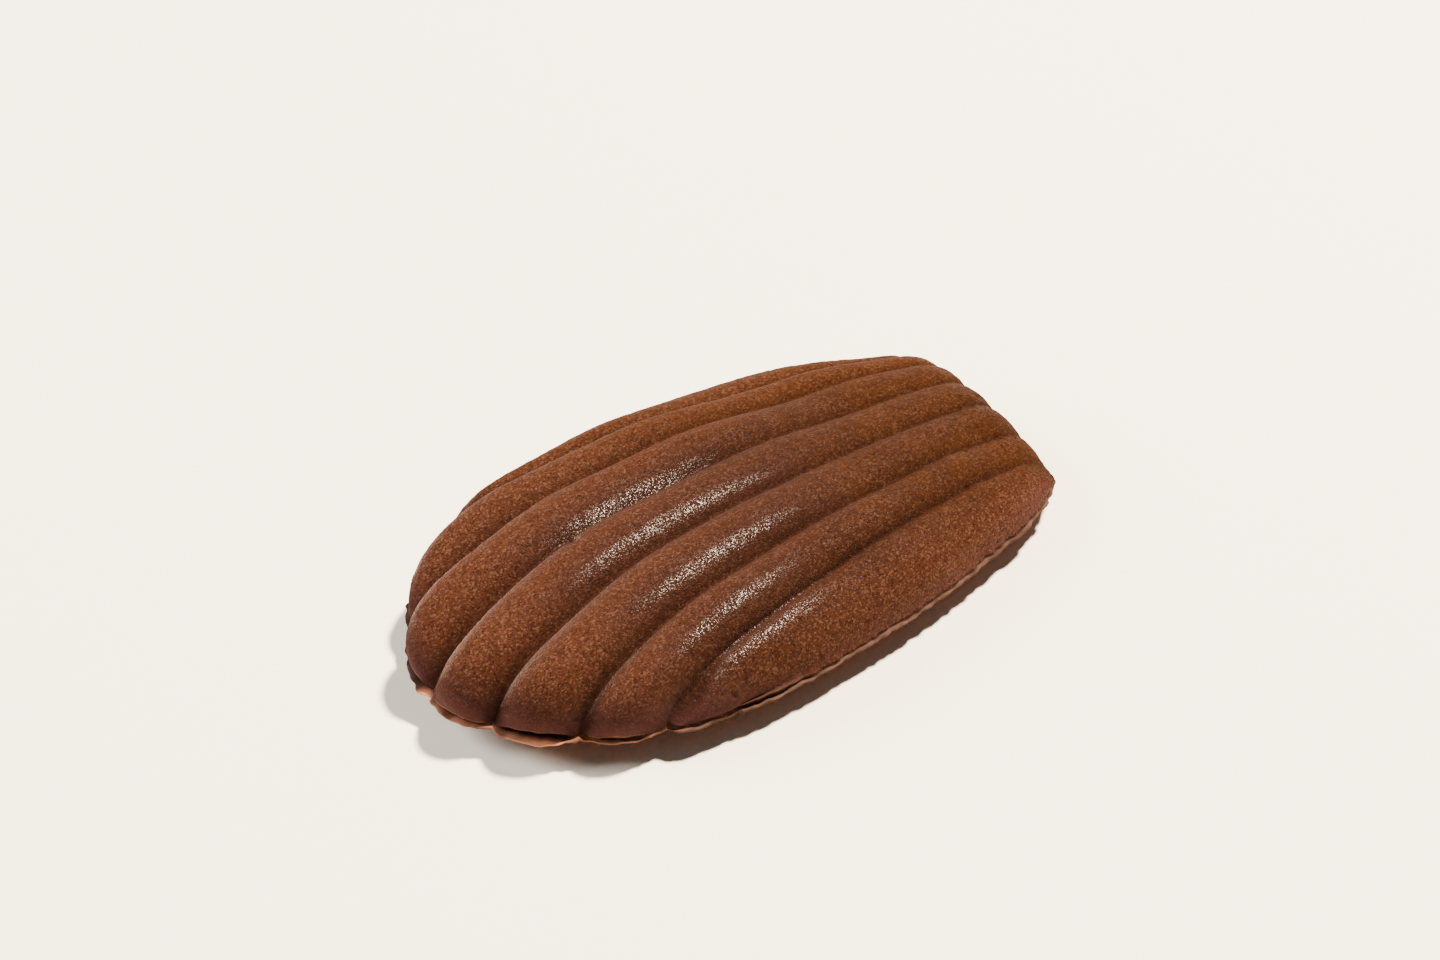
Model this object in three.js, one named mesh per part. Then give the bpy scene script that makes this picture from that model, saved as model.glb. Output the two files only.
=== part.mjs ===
// A chocolate madeleine, lying shell side up on its low crown.
// Millimetres, +Z up. +X runs along the cake to its narrow end, +Y to its far side.
// The origin is under the middle of the cake, on the surface that it rests on.
import * as THREE from "three";

// The outline seen from above. Shares of the length count from the wide tip.
const LENGTH = 80;
const HALF_WIDTH = 22.9;
const WIDEST_AT = 0.37;
const WIDE_END_BEND = 1.99;
const WIDE_END_SQUARENESS = 1.71;
const NARROW_HALF_WIDTH = 14.4;
const TAPER = 2.69;
const CORNER_AT = 0.958;
const CORNER_SQUARENESS = 3.02;

// The cake isn't quite even: its middle bows out, its narrow end leans, its ribs drift at the wide end.
const BOW = 0.65;
const LEAN = 0.05;
const RIB_DRIFT = 3.8;
const DRIFTS_OVER = 0.35;

// The shell over the rim: its crown line, and its section across.
const SHELL_HEIGHT = 9.2;
const HIGHEST_AT = 0.48;
const WIDE_END_RISE = 1.58;
const WIDE_END_STEEPNESS = 2.51;
const NARROW_HEIGHT = 5.25;
const NARROW_FALL = 1.41;
const NARROW_ROUND_AT = 0.928;
const NARROW_ROUNDNESS = 2.39;
const SECTION_BEND = 2.54;
const SECTION_SQUARENESS = 1.66;
const NARROW_SECTION_SQUARENESS = 1.2;
const SECTION_CHANGES_FROM = 0.6;

// Seven ribs. The middle one is rib 0, and the outer ones, -3 and 3, are the side bands.
const OUTER_RIB = 3;
const PITCH_WIDE = 8.8;
const PITCH_NARROW = 4.85;
const PITCH_CLOSING = 1.43;
const GROOVES_IN_PITCHES = [0.5, 1.5, 2.3];
const RIB_DEPTH_WIDE = 1.75;
const RIB_DEPTH_NARROW = 0.25;
const RIB_DEEPENS_OVER = 0.61;
const RIB_ROUNDNESS = 2.21;
const RIB_FULL_AT_HEIGHT = 4;
const RIB_SHARE_AT_RIM = 0.46;
const SIDE_BAND_RELIEF = 0.6;

// The thin lip where the batter met the edge of the mould.
const LIP_REACH = 0.9;
const LIP_THICKNESS = 0.8;

// The low crown underneath, as [share of the outline, share of the depth] from the lip to the flat spot.
const CROWN_DEPTH = 3;
const CROWN_RINGS = [
  [0.97, 0.04],
  [0.84, 0.4],
  [0.68, 0.8],
  [0.5, 1.0],
];

// The unevenness of a baked surface: a few long, shallow waves.
const UNEVENNESS = 0.12;
const WAVE_LENGTH = 17;
const WAVE_COUNT = 5;
const WAVE_SEED = 11;

// How finely the surface is faceted.
const COLUMNS_PER_RIB = 8;
const ROWS = 46;
const ROW_CROWDING = 0.75;
const WIDE_TURN = 0.1;
const NARROW_TURN = 0.05;

const CRUST_COLOUR = 0x6b3d26;

/** Keeps a value between 0 and 1. */
function clamp01(value) {
  return Math.min(1, Math.max(0, value));
}

/** A smooth step from 0 to 1. */
function smooth(value) {
  const t = clamp01(value);
  return t * t * (3 - 2 * t);
}

/** A quarter of a superellipse: 0 at t = 0, rising to 1 at t = 1. */
function quarter(t, bend, squareness) {
  return (1 - (1 - clamp01(t)) ** bend) ** (1 / squareness);
}

/** Half the width of the shell at a share of the length, without the lip. */
function halfWidth(share) {
  const widest = HALF_WIDTH - LIP_REACH;
  if (share < WIDEST_AT) {
    return widest * quarter(share / WIDEST_AT, WIDE_END_BEND, WIDE_END_SQUARENESS);
  }
  const along = (share - WIDEST_AT) / (1 - WIDEST_AT);
  const sides = widest - (HALF_WIDTH - NARROW_HALF_WIDTH) * along ** TAPER;
  const corner = clamp01((share - CORNER_AT) / (1 - CORNER_AT));
  return sides * (1 - corner ** CORNER_SQUARENESS) ** (1 / CORNER_SQUARENESS);
}

/** Height of the groove floors on the middle line, over the rim. */
function middleHeight(share) {
  if (share < HIGHEST_AT) {
    return SHELL_HEIGHT * quarter(share / HIGHEST_AT, WIDE_END_RISE, WIDE_END_STEEPNESS);
  }
  const along = (share - HIGHEST_AT) / (1 - HIGHEST_AT);
  const height = SHELL_HEIGHT - (SHELL_HEIGHT - NARROW_HEIGHT) * along ** NARROW_FALL;
  const round = clamp01((share - NARROW_ROUND_AT) / (1 - NARROW_ROUND_AT));
  return height * (1 - round ** NARROW_ROUNDNESS) ** (1 / NARROW_ROUNDNESS);
}

/** How square the section across the shell is at a share of the length. */
function sectionSquareness(share) {
  const along = smooth((share - SECTION_CHANGES_FROM) / (1 - SECTION_CHANGES_FROM));
  return SECTION_SQUARENESS + (NARROW_SECTION_SQUARENESS - SECTION_SQUARENESS) * along;
}

/** Distance from rib to rib across the cake. */
function ribPitch(share) {
  return PITCH_WIDE - (PITCH_WIDE - PITCH_NARROW) * share ** PITCH_CLOSING;
}

/** Place of a groove or crest across the cake, in pitches, for a rib number. */
function pitchesAcross(rib) {
  const [first, second, third] = GROOVES_IN_PITCHES;
  const size = Math.abs(rib);
  let pitches = size;
  if (size > 1.5) {
    pitches = second + (size - 1.5) * (third - second);
  } else if (size > 0.5) {
    pitches = first + (size - 0.5) * (second - first);
  }
  return Math.sign(rib) * pitches;
}

/** How far a rib stands over its grooves, from 0 in a groove to 1 on the crest, falling down the sides. */
function ribRelief(rib) {
  const beyond = Math.abs(rib) - OUTER_RIB;
  if (beyond > 0) {
    return 1 - (1 - SIDE_BAND_RELIEF) * smooth(beyond * 2);
  }
  const fromCrest = Math.abs(rib - Math.round(rib)) * 2;
  return 1 - fromCrest ** RIB_ROUNDNESS;
}

/** Depth of the ribs at a share of the length. */
function ribDepth(share) {
  const deepening = clamp01((1 - share) / RIB_DEEPENS_OVER);
  return RIB_DEPTH_NARROW + (RIB_DEPTH_WIDE - RIB_DEPTH_NARROW) * deepening;
}

/** The share between low and high where a test turns from false to true. */
function turningShare(low, high, test) {
  let before = low;
  let after = high;
  for (let step = 0; step < 40; step += 1) {
    const middle = (before + after) / 2;
    if (test(middle)) {
      after = middle;
    } else {
      before = middle;
    }
  }
  return (before + after) / 2;
}

/** One line along the shell, from the wide end's rim to the narrow end's, as a function of 0 to 1. */
function ribLine(rib) {
  const edge = OUTER_RIB - 0.5;
  const inner = Math.sign(rib) * Math.min(Math.abs(rib), edge);
  const outward = clamp01(Math.abs(rib) - edge);
  const offset = (share) => {
    const drift = RIB_DRIFT * clamp01(1 - share / DRIFTS_OVER) ** 2;
    return pitchesAcross(inner) * ribPitch(share) - drift;
  };
  const start = turningShare(0, WIDEST_AT, (s) => Math.abs(offset(s)) < halfWidth(s));
  const end = turningShare(WIDEST_AT, 1, (s) => Math.abs(offset(s)) > halfWidth(s));
  const from = start + outward * WIDE_TURN;
  const to = end - outward * NARROW_TURN;
  return (along) => {
    const crowded = 0.5 - 0.5 * Math.cos(Math.PI * along);
    const share = from + (to - from) * (along + (crowded - along) * ROW_CROWDING);
    const width = halfWidth(share);
    const side = offset(share);
    const fromEnd = Math.min((share - from) / WIDE_TURN, (to - share) / NARROW_TURN);
    const spread = outward + (1 - outward) * (1 - smooth(fromEnd));
    const reach = Math.sign(rib) * width - side;
    const y = outward > 0 ? side + reach * spread : side;
    return { share, y, across: clamp01(Math.abs(y) / width) };
  };
}

/** A point of the smooth shell, without its ribs, at a place along a line. */
function shellPoint(line, along) {
  const { share, y, across } = line(along);
  const rise = (1 - across ** SECTION_BEND) ** (1 / sectionSquareness(share));
  const onRim = along === 0 || along === 1;
  const height = onRim ? 0 : Math.max(0, (middleHeight(share) - LIP_THICKNESS) * rise);
  const x = LIP_REACH + share * (LENGTH - 2 * LIP_REACH) + LEAN * y * share ** 3;
  const bow = BOW * 4 * share * (1 - share);
  return { share, height, place: new THREE.Vector3(x, y + bow, LIP_THICKNESS + height) };
}

/** A repeatable random number source. */
function randomSource(seed) {
  let state = seed;
  return () => {
    state = (state * 1664525 + 1013904223) % 4294967296;
    return state / 4294967296;
  };
}

const random = randomSource(WAVE_SEED);
const WAVES = Array.from({ length: WAVE_COUNT }, () => {
  const direction = random() * Math.PI;
  const length = WAVE_LENGTH * (0.6 + 0.8 * random());
  return {
    x: (2 * Math.PI * Math.cos(direction)) / length,
    y: (2 * Math.PI * Math.sin(direction)) / length,
    phase: random() * 2 * Math.PI,
  };
});

/** The unevenness of the baked surface at a place. */
function unevenness(x, y) {
  let sum = 0;
  for (const wave of WAVES) {
    sum += Math.sin(wave.x * x + wave.y * y + wave.phase);
  }
  return (sum * UNEVENNESS) / Math.sqrt(WAVE_COUNT / 2);
}

/** Direction out of a closed loop of points, seen from above, at one of them. */
function outwardAt(loop, index) {
  const before = loop[(index + loop.length - 1) % loop.length];
  const after = loop[(index + 1) % loop.length];
  return new THREE.Vector3(after.y - before.y, before.x - after.x, 0).normalize();
}

/** The smooth shell as rows and columns of points, the columns running along the ribs. */
function smoothGrid() {
  const ribs = 2 * OUTER_RIB + 1;
  const columns = [];
  for (let step = 0; step <= ribs * COLUMNS_PER_RIB; step += 1) {
    const rib = step / COLUMNS_PER_RIB - ribs / 2;
    const line = ribLine(rib);
    const points = [];
    for (let row = 0; row <= ROWS; row += 1) {
      points.push({ rib, ...shellPoint(line, row / ROWS) });
    }
    columns.push(points);
  }
  return columns;
}

/** Direction out of the smooth shell at a point inside the grid. */
function normalAt(grid, column, row) {
  const along = grid[column][row + 1].place.clone().sub(grid[column][row - 1].place);
  const across = grid[column + 1][row].place.clone().sub(grid[column - 1][row].place);
  return along.cross(across).normalize();
}

/** How far the ribs and the unevenness lift the smooth shell at one of its points. */
function liftOf(point) {
  const full = smooth(point.height / RIB_FULL_AT_HEIGHT);
  const share = RIB_SHARE_AT_RIM + (1 - RIB_SHARE_AT_RIM) * full;
  const ribs = ribRelief(point.rib) * ribDepth(point.share) * share;
  return ribs + unevenness(point.place.x, point.place.y);
}

/** The grid's places in the order of its edge, anticlockwise seen from above. */
function edgeOrder(columnCount) {
  const last = columnCount - 1;
  const order = [];
  for (let row = 0; row < ROWS; row += 1) {
    order.push([0, row]);
  }
  for (let column = 0; column < last; column += 1) {
    order.push([column, ROWS]);
  }
  for (let row = ROWS; row > 0; row -= 1) {
    order.push([last, row]);
  }
  for (let column = last; column > 0; column -= 1) {
    order.push([column, 0]);
  }
  return order;
}

/**
 * The rings of points from the lip down to the flat spot, each in the order of the edge.
 * The lip follows the lobed edge of the ribs, and the crown follows the smooth edge between them.
 */
function lipAndCrownRings(edge, smoothEdge) {
  const outer = edge.map((place, index) => {
    return place.clone().addScaledVector(outwardAt(edge, index), LIP_REACH);
  });
  const middle = new THREE.Vector3();
  smoothEdge.forEach((place) => middle.addScaledVector(place, 1 / smoothEdge.length));
  const rings = [outer, outer.map((place) => place.clone().setZ(0))];
  for (const [share, depth] of CROWN_RINGS) {
    rings.push(
      smoothEdge.map((place) => {
        const inward = middle.clone().lerp(place, share);
        return inward.setZ(-depth * CROWN_DEPTH);
      }),
    );
  }
  return { rings, middle: middle.setZ(-CROWN_DEPTH) };
}

/** The whole cake as one closed surface. */
function cakeGeometry() {
  const grid = smoothGrid();
  const order = edgeOrder(grid.length);
  const smoothEdge = order.map(([column, row]) => grid[column][row].place);
  const places = [];
  const triangles = [];
  const numberOf = (column, row) => column * (ROWS + 1) + row;

  grid.forEach((points, column) => {
    points.forEach((point, row) => {
      const inside = column > 0 && column < grid.length - 1 && row > 0 && row < ROWS;
      const lifted = point.place.clone();
      if (inside) {
        lifted.addScaledVector(normalAt(grid, column, row), liftOf(point));
      }
      places.push(lifted);
    });
  });
  order.forEach(([column, row], index) => {
    const point = grid[column][row];
    places[numberOf(column, row)].addScaledVector(outwardAt(smoothEdge, index), liftOf(point));
  });
  for (let column = 0; column < grid.length - 1; column += 1) {
    for (let row = 0; row < ROWS; row += 1) {
      const [a, b] = [numberOf(column, row), numberOf(column, row + 1)];
      const [c, d] = [numberOf(column + 1, row + 1), numberOf(column + 1, row)];
      triangles.push(a, b, c, a, c, d);
    }
  }

  let inner = order.map(([column, row]) => numberOf(column, row));
  const edge = inner.map((number) => places[number]);
  const { rings, middle } = lipAndCrownRings(edge, smoothEdge);
  for (const ring of rings) {
    const outer = ring.map((place) => places.push(place) - 1);
    outer.forEach((number, index) => {
      const next = (index + 1) % outer.length;
      triangles.push(inner[index], number, outer[next], inner[index], outer[next], inner[next]);
    });
    inner = outer;
  }
  const centre = places.push(middle) - 1;
  inner.forEach((number, index) => {
    triangles.push(number, centre, inner[(index + 1) % inner.length]);
  });

  const geometry = new THREE.BufferGeometry().setFromPoints(places).setIndex(triangles);
  geometry.computeBoundingBox();
  const box = geometry.boundingBox;
  const [x, y] = [(box.min.x + box.max.x) / 2, (box.min.y + box.max.y) / 2];
  geometry.translate(-x, -y, CROWN_DEPTH);
  geometry.computeVertexNormals();
  return geometry;
}

const crust = new THREE.MeshStandardMaterial({
  color: CRUST_COLOUR,
  roughness: 0.75,
  metalness: 0,
});
const cake = new THREE.Mesh(cakeGeometry(), crust);
cake.name = "madeleine_cake";

const part = new THREE.Group();
part.add(cake);

export default part;
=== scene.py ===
"""A chocolate madeleine, lying ribbed side up on its low crown.

The cake is one baked piece: a ribbed shell, a thin lip round its rim and a low crown underneath.
Lengths in the form classes are millimetres, as a baker's mould is measured. Meshes are in metres.
"""
import logging
import math
from dataclasses import dataclass, field, replace
from enum import Enum

import bpy
import numpy as np
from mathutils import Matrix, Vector, noise


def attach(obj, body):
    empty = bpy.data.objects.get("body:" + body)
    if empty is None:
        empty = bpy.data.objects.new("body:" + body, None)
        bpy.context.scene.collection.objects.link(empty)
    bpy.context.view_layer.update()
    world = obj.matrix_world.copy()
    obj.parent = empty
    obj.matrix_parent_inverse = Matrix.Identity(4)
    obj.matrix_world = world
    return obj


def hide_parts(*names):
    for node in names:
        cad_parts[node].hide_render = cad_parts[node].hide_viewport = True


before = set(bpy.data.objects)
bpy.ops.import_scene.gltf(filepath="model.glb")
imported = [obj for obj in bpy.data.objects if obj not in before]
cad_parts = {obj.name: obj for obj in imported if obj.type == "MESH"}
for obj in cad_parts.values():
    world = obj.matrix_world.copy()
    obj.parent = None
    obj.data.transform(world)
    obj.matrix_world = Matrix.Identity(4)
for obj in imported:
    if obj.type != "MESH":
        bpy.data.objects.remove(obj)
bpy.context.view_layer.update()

log = logging.getLogger("madeleine")

CAKE_NODE = "madeleine_cake"
METRE = 1000.0

# What each point of the cake keeps for its finish, from 0 to 1. Groove and gap hold painted shade, pale
# holds painted light, and warm holds painted light on the far ribs.
POINT_VALUES = ("band", "groove", "pale", "warm", "edge", "polish", "halo", "lip", "gap", "under", "tan")

# The steps of a plain random generator, which gives the long waves that the solid has too.
DRAW_FACTOR = 1664525
DRAW_STEP = 1013904223
DRAW_RANGE = 4294967296

Colour = tuple[float, float, float, float]
Socket = bpy.types.NodeSocket


def paint(red: int, green: int, blue: int) -> Colour:
    """Turns a colour as seen on a screen into the linear one that a shader takes.

    Args:
        red: Red from 0 to 255.
        green: Green from 0 to 255.
        blue: Blue from 0 to 255.

    Returns:
        The linear colour, opaque.
    """
    linear = [((part / 255 + 0.055) / 1.055) ** 2.4 for part in (red, green, blue)]
    return (linear[0], linear[1], linear[2], 1.0)


def smooth(value: np.ndarray) -> np.ndarray:
    """Gives a smooth step from 0 to 1 over the same range of value."""
    share = np.clip(value, 0, 1)
    return share * share * (3 - 2 * share)


def quarter(share: np.ndarray, bend: float, squareness: float) -> np.ndarray:
    """Gives a quarter of a superellipse.

    Args:
        share: How far along the quarter, from 0 to 1.
        bend: Exponent along the quarter.
        squareness: Exponent of the rise.

    Returns:
        The rise, 0 where share is 0 and 1 where it is 1.
    """
    return np.clip(1 - (1 - np.clip(share, 0, 1)) ** bend, 0, 1) ** (1 / squareness)


def unit(vectors: np.ndarray) -> np.ndarray:
    """Scales each vector, in the last axis, to a length of 1."""
    length = np.linalg.norm(vectors, axis=-1, keepdims=True)
    return vectors / np.maximum(length, 1e-9)


def noise_at(places: np.ndarray, wave_length: float, seed: int) -> np.ndarray:
    """Samples a smooth random field.

    Args:
        places: Points in millimetres, in the last axis.
        wave_length: Size of one swell, in millimetres.
        seed: Which field.

    Returns:
        One value about from -1 to 1 for each point.
    """
    away = np.random.default_rng(seed).uniform(-50, 50, 3)
    points = places.reshape(-1, 3) / wave_length + away
    values = [noise.noise(Vector(point)) for point in points]
    return np.array(values).reshape(places.shape[:-1])


def loop_of(grid: np.ndarray) -> np.ndarray:
    """Gives a grid's edge values in order, anticlockwise seen from above, from the near wide corner.

    Args:
        grid: Values by column and row.

    Returns:
        The values along the grid's edge.
    """
    near, narrow = grid[0, :-1], grid[:-1, -1]
    far, wide = grid[-1, :0:-1], grid[:0:-1, 0]
    return np.concatenate([near, narrow, far, wide])


def outward_of(loop: np.ndarray) -> np.ndarray:
    """Gives the level directions out of a loop that runs anticlockwise as seen from above."""
    ahead = np.roll(loop, -1, 0) - np.roll(loop, 1, 0)
    return unit(np.stack([ahead[:, 1], -ahead[:, 0], 0 * ahead[:, 0]], -1))


class Side(Enum):
    """The four stretches of the cake's rim."""

    NEAR = "near"
    NARROW_END = "narrow end"
    FAR = "far"
    WIDE_END = "wide end"


class Join(Enum):
    """The ways in which a shader joins two values."""

    TOTAL = "ADD"
    PRODUCT = "MULTIPLY"
    LARGER = "MAXIMUM"


@dataclass(frozen=True)
class Fade:
    """A smooth step from 0 to 1, from a start over a distance."""

    start: float
    over: float

    def at(self, values: np.ndarray) -> np.ndarray:
        """Gives the step at some values."""
        return smooth((values - self.start) / self.over)


@dataclass(frozen=True)
class Swell:
    """A smooth random field: the height and the length of its swells in millimetres, and its seed."""

    height: float
    length: float
    seed: int

    def at(self, places: np.ndarray) -> np.ndarray:
        """Gives the field at points."""
        return noise_at(places, self.length, self.seed) * self.height


@dataclass(frozen=True)
class ShellGrid:
    """The smooth shell as columns along the ribs and rows across them."""

    places: np.ndarray
    ribs: np.ndarray
    shares: np.ndarray
    heights: np.ndarray


@dataclass(frozen=True)
class RibbedShell:
    """The shell over the rim: an outline, a crown line, a section and seven ribs.

    Shares of the length count from the wide tip. Rib 0 is the middle one, -3 is the near side band and
    3 the far one.
    """

    length: float = 80.0
    half_width: float = 22.9
    widest_at: float = 0.37
    wide_end_bend: float = 1.99
    wide_end_squareness: float = 1.71
    narrow_half_width: float = 14.4
    taper: float = 2.69
    corner_at: float = 0.958
    corner_squareness: float = 5.0

    bow: float = 0.65
    lean: float = 0.05
    rib_drift: float = 3.8
    drifts_over: float = 0.35

    height: float = 9.2
    lobe_bulge: float = 0.7
    lobes_fade: Fade = Fade(0.14, 0.2)
    lobe_height: float = 2.2
    highest_at: float = 0.48
    wide_end_rise: float = 1.58
    wide_end_steepness: float = 2.51
    narrow_height: float = 5.25
    narrow_fall: float = 1.41
    narrow_round_at: float = 0.928
    narrow_roundness: float = 2.39
    section_bend: float = 2.54
    section_squareness: float = 1.66
    narrow_section_squareness: float = 1.2
    section_changes_from: float = 0.6

    outer_rib: int = 3
    pitch_wide: float = 8.8
    pitch_narrow: float = 4.85
    pitch_closing: float = 1.43
    grooves_in_pitches: tuple[float, float, float] = (0.5, 1.5, 2.3)
    rib_depth_wide: float = 1.75
    rib_depth_narrow: float = 0.45
    rib_deepens_over: float = 0.61
    rib_roundness: float = 2.21
    rib_full_at_height: float = 4.0
    rib_share_at_rim: float = 0.46
    side_band_relief: float = 0.6
    side_band_roundness: float = 5.5

    rim_height: float = 0.8
    rim_inset: float = 0.5
    far_inset: float = 0.9
    far_inset_bend: float = 4.0
    narrow_inset: float = 0.9
    narrow_inset_bend: float = 8.0
    near_corner_drop: float = 0.28
    near_corner_along: Fade = Fade(0.8, 0.2)
    near_corner_across: Fade = Fade(0.0, 2.0)

    columns_per_rib: int = 32
    rows: int = 290
    row_crowding: float = 0.75
    side_crowding: float = 1.5
    wide_turn: float = 0.1
    narrow_turn: float = 0.05
    search_steps: int = 40

    def half_width_at(self, share: np.ndarray) -> np.ndarray:
        """Gives half the shell's width.

        Args:
            share: Shares of the length.

        Returns:
            Half the width at each share.
        """
        widest = self.half_width - self.rim_inset
        wide = widest * quarter(share / self.widest_at, self.wide_end_bend, self.wide_end_squareness)
        along = np.clip((share - self.widest_at) / (1 - self.widest_at), 0, 1)
        sides = widest - (self.half_width - self.narrow_half_width) * along**self.taper
        corner = np.clip((share - self.corner_at) / (1 - self.corner_at), 0, 1)
        sides = sides * (1 - corner**self.corner_squareness) ** (1 / self.corner_squareness)
        return np.where(share < self.widest_at, wide, sides)

    def middle_height(self, share: np.ndarray) -> np.ndarray:
        """Gives the height of the groove floors on the middle line, over the lip's underside.

        Args:
            share: Shares of the length.

        Returns:
            The height at each share.
        """
        rise = quarter(share / self.highest_at, self.wide_end_rise, self.wide_end_steepness)
        along = np.clip((share - self.highest_at) / (1 - self.highest_at), 0, 1)
        fall = self.height - (self.height - self.narrow_height) * along**self.narrow_fall
        end = np.clip((share - self.narrow_round_at) / (1 - self.narrow_round_at), 0, 1)
        fall = fall * (1 - end**self.narrow_roundness) ** (1 / self.narrow_roundness)
        return np.where(share < self.highest_at, self.height * rise, fall)

    def across_at(self, ribs: np.ndarray, share: np.ndarray) -> np.ndarray:
        """Gives how far across the cake the lines of some ribs run.

        Args:
            ribs: Rib numbers, with halves in the grooves.
            share: Shares of the length.

        Returns:
            Distances from the middle line, positive to the far side.
        """
        first, second, third = self.grooves_in_pitches
        size = np.abs(ribs)
        pitches = np.interp(size, [0, 0.5, 1.5, 2.5], [0, first, second, third])
        pitch = self.pitch_wide - (self.pitch_wide - self.pitch_narrow) * share**self.pitch_closing
        drift = self.rib_drift * np.clip(1 - share / self.drifts_over, 0, 1) ** 2
        return np.sign(ribs) * pitches * pitch - drift

    def relief(self, ribs: np.ndarray) -> np.ndarray:
        """Gives how far the ribs stand over their grooves.

        Args:
            ribs: Rib numbers, with halves in the grooves.

        Returns:
            The relief, 0 in a groove and 1 on a crest.
        """
        from_crest = np.abs(ribs - np.round(ribs)) * 2
        beyond = np.abs(ribs) - self.outer_rib
        side = 1 - (1 - self.side_band_relief) * smooth(beyond * 2)
        roundness = np.where(beyond > -0.5, self.side_band_roundness, self.rib_roundness)
        return np.where(beyond > 0, side, 1 - from_crest**roundness)

    def depth(self, share: np.ndarray) -> np.ndarray:
        """Gives the depth of the ribs at shares of the length."""
        deepening = np.clip((1 - share) / self.rib_deepens_over, 0, 1)
        return self.rib_depth_narrow + (self.rib_depth_wide - self.rib_depth_narrow) * deepening

    def rim_share(self, ribs: np.ndarray, low: float, high: float) -> np.ndarray:
        """Finds where the lines of some ribs meet the rim.

        Args:
            ribs: Rib numbers.
            low: A share on one side of the rim.
            high: A share on the other side.

        Returns:
            The share of the length at the rim, for each rib.
        """
        before = np.full(ribs.shape, low)
        after = np.full(ribs.shape, high)
        starts_inside = np.abs(self.across_at(ribs, before)) < self.half_width_at(before)
        for _ in range(self.search_steps):
            middle = (before + after) / 2
            inside = np.abs(self.across_at(ribs, middle)) < self.half_width_at(middle)
            same = inside == starts_inside
            before = np.where(same, middle, before)
            after = np.where(same, after, middle)
        return (before + after) / 2

    def smooth_grid(self) -> ShellGrid:
        """Lays out the shell without its ribs.

        Returns:
            The grid, its columns running along the ribs from the wide end to the narrow end.
        """
        count = 2 * self.outer_rib + 1
        ribs = np.linspace(-count / 2, count / 2, count * self.columns_per_rib + 1)
        edge = self.outer_rib - 0.5
        inner = np.clip(ribs, -edge, edge)
        outward = 1 - (1 - np.clip(np.abs(ribs) - edge, 0, 1)) ** self.side_crowding
        start = self.rim_share(inner, 0.0, self.widest_at) + outward * self.wide_turn
        end = self.rim_share(inner, self.widest_at, 1.0) - outward * self.narrow_turn
        ribs, inner, outward = ribs[:, None], inner[:, None], outward[:, None]
        start, end = start[:, None], end[:, None]

        along = np.linspace(0, 1, self.rows + 1)[None, :]
        crowded = 0.5 - 0.5 * np.cos(math.pi * along)
        share = start + (end - start) * (along + (crowded - along) * self.row_crowding)
        width = self.half_width_at(share)
        line = self.across_at(inner, share)
        from_end = np.minimum((share - start) / self.wide_turn, (end - share) / self.narrow_turn)
        spread = outward + (1 - outward) * (1 - smooth(from_end))
        y = np.where(outward > 0, line + (np.sign(ribs) * width - line) * spread, line)

        across = np.clip(np.abs(y) / np.maximum(width, 1e-6), 0, 1)
        heights = self.section_height(share, across)
        near_corner = self.near_corner_along.at(share) * self.near_corner_across.at(-ribs)
        heights *= 1 - self.near_corner_drop * near_corner
        heights[:, [0, -1]] = 0
        x = self.rim_inset + share * (self.length - 2 * self.rim_inset) + self.lean * y * share**3
        x = x - (self.narrow_inset - self.rim_inset) * share**self.narrow_inset_bend
        y = y - np.where(y > 0, (self.far_inset - self.rim_inset) * across**self.far_inset_bend, 0)
        y = y + self.bow * 4 * share * (1 - share)
        places = np.stack([x, y, self.rim_height + heights], -1)
        return ShellGrid(places, np.broadcast_to(ribs, share.shape), share, heights)

    def section_height(self, share: np.ndarray, across: np.ndarray) -> np.ndarray:
        """Gives the smooth shell's height over its rim.

        Args:
            share: Shares of the length.
            across: How far out each point lies, from 0 on the middle line to 1 on the rim.

        Returns:
            The height at each point.
        """
        change = smooth((share - self.section_changes_from) / (1 - self.section_changes_from))
        narrow_change = self.narrow_section_squareness - self.section_squareness
        squareness = self.section_squareness + narrow_change * change
        rise = (1 - across**self.section_bend) ** (1 / squareness)
        return np.maximum(0, (self.middle_height(share) - self.rim_height) * rise)

    def rib_lift(self, grid: ShellGrid) -> np.ndarray:
        """Gives how far the ribs lift each point of the smooth shell.

        Args:
            grid: The smooth shell.

        Returns:
            The lift, in the grid's order.
        """
        full = smooth(grid.heights / self.rib_full_at_height)
        part = self.rib_share_at_rim + (1 - self.rib_share_at_rim) * full
        return self.relief(grid.ribs) * self.depth(grid.shares) * part + self.lobe_lift(grid)

    def lobe_lift(self, grid: ShellGrid) -> np.ndarray:
        """Gives how far the ribs' ends bulge over the rim at the wide end, and their grooves sink.

        Args:
            grid: The smooth shell.

        Returns:
            The lift, in the grid's order.
        """
        wide_end = 1 - self.lobes_fade.at(grid.shares)
        up = grid.heights / self.lobe_height
        level = up * np.exp(1 - up)
        shape = np.where(np.abs(grid.ribs) > self.outer_rib, 0.5, self.relief(grid.ribs) - 0.5)
        return 2 * self.lobe_bulge * shape * wide_end * level


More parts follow.
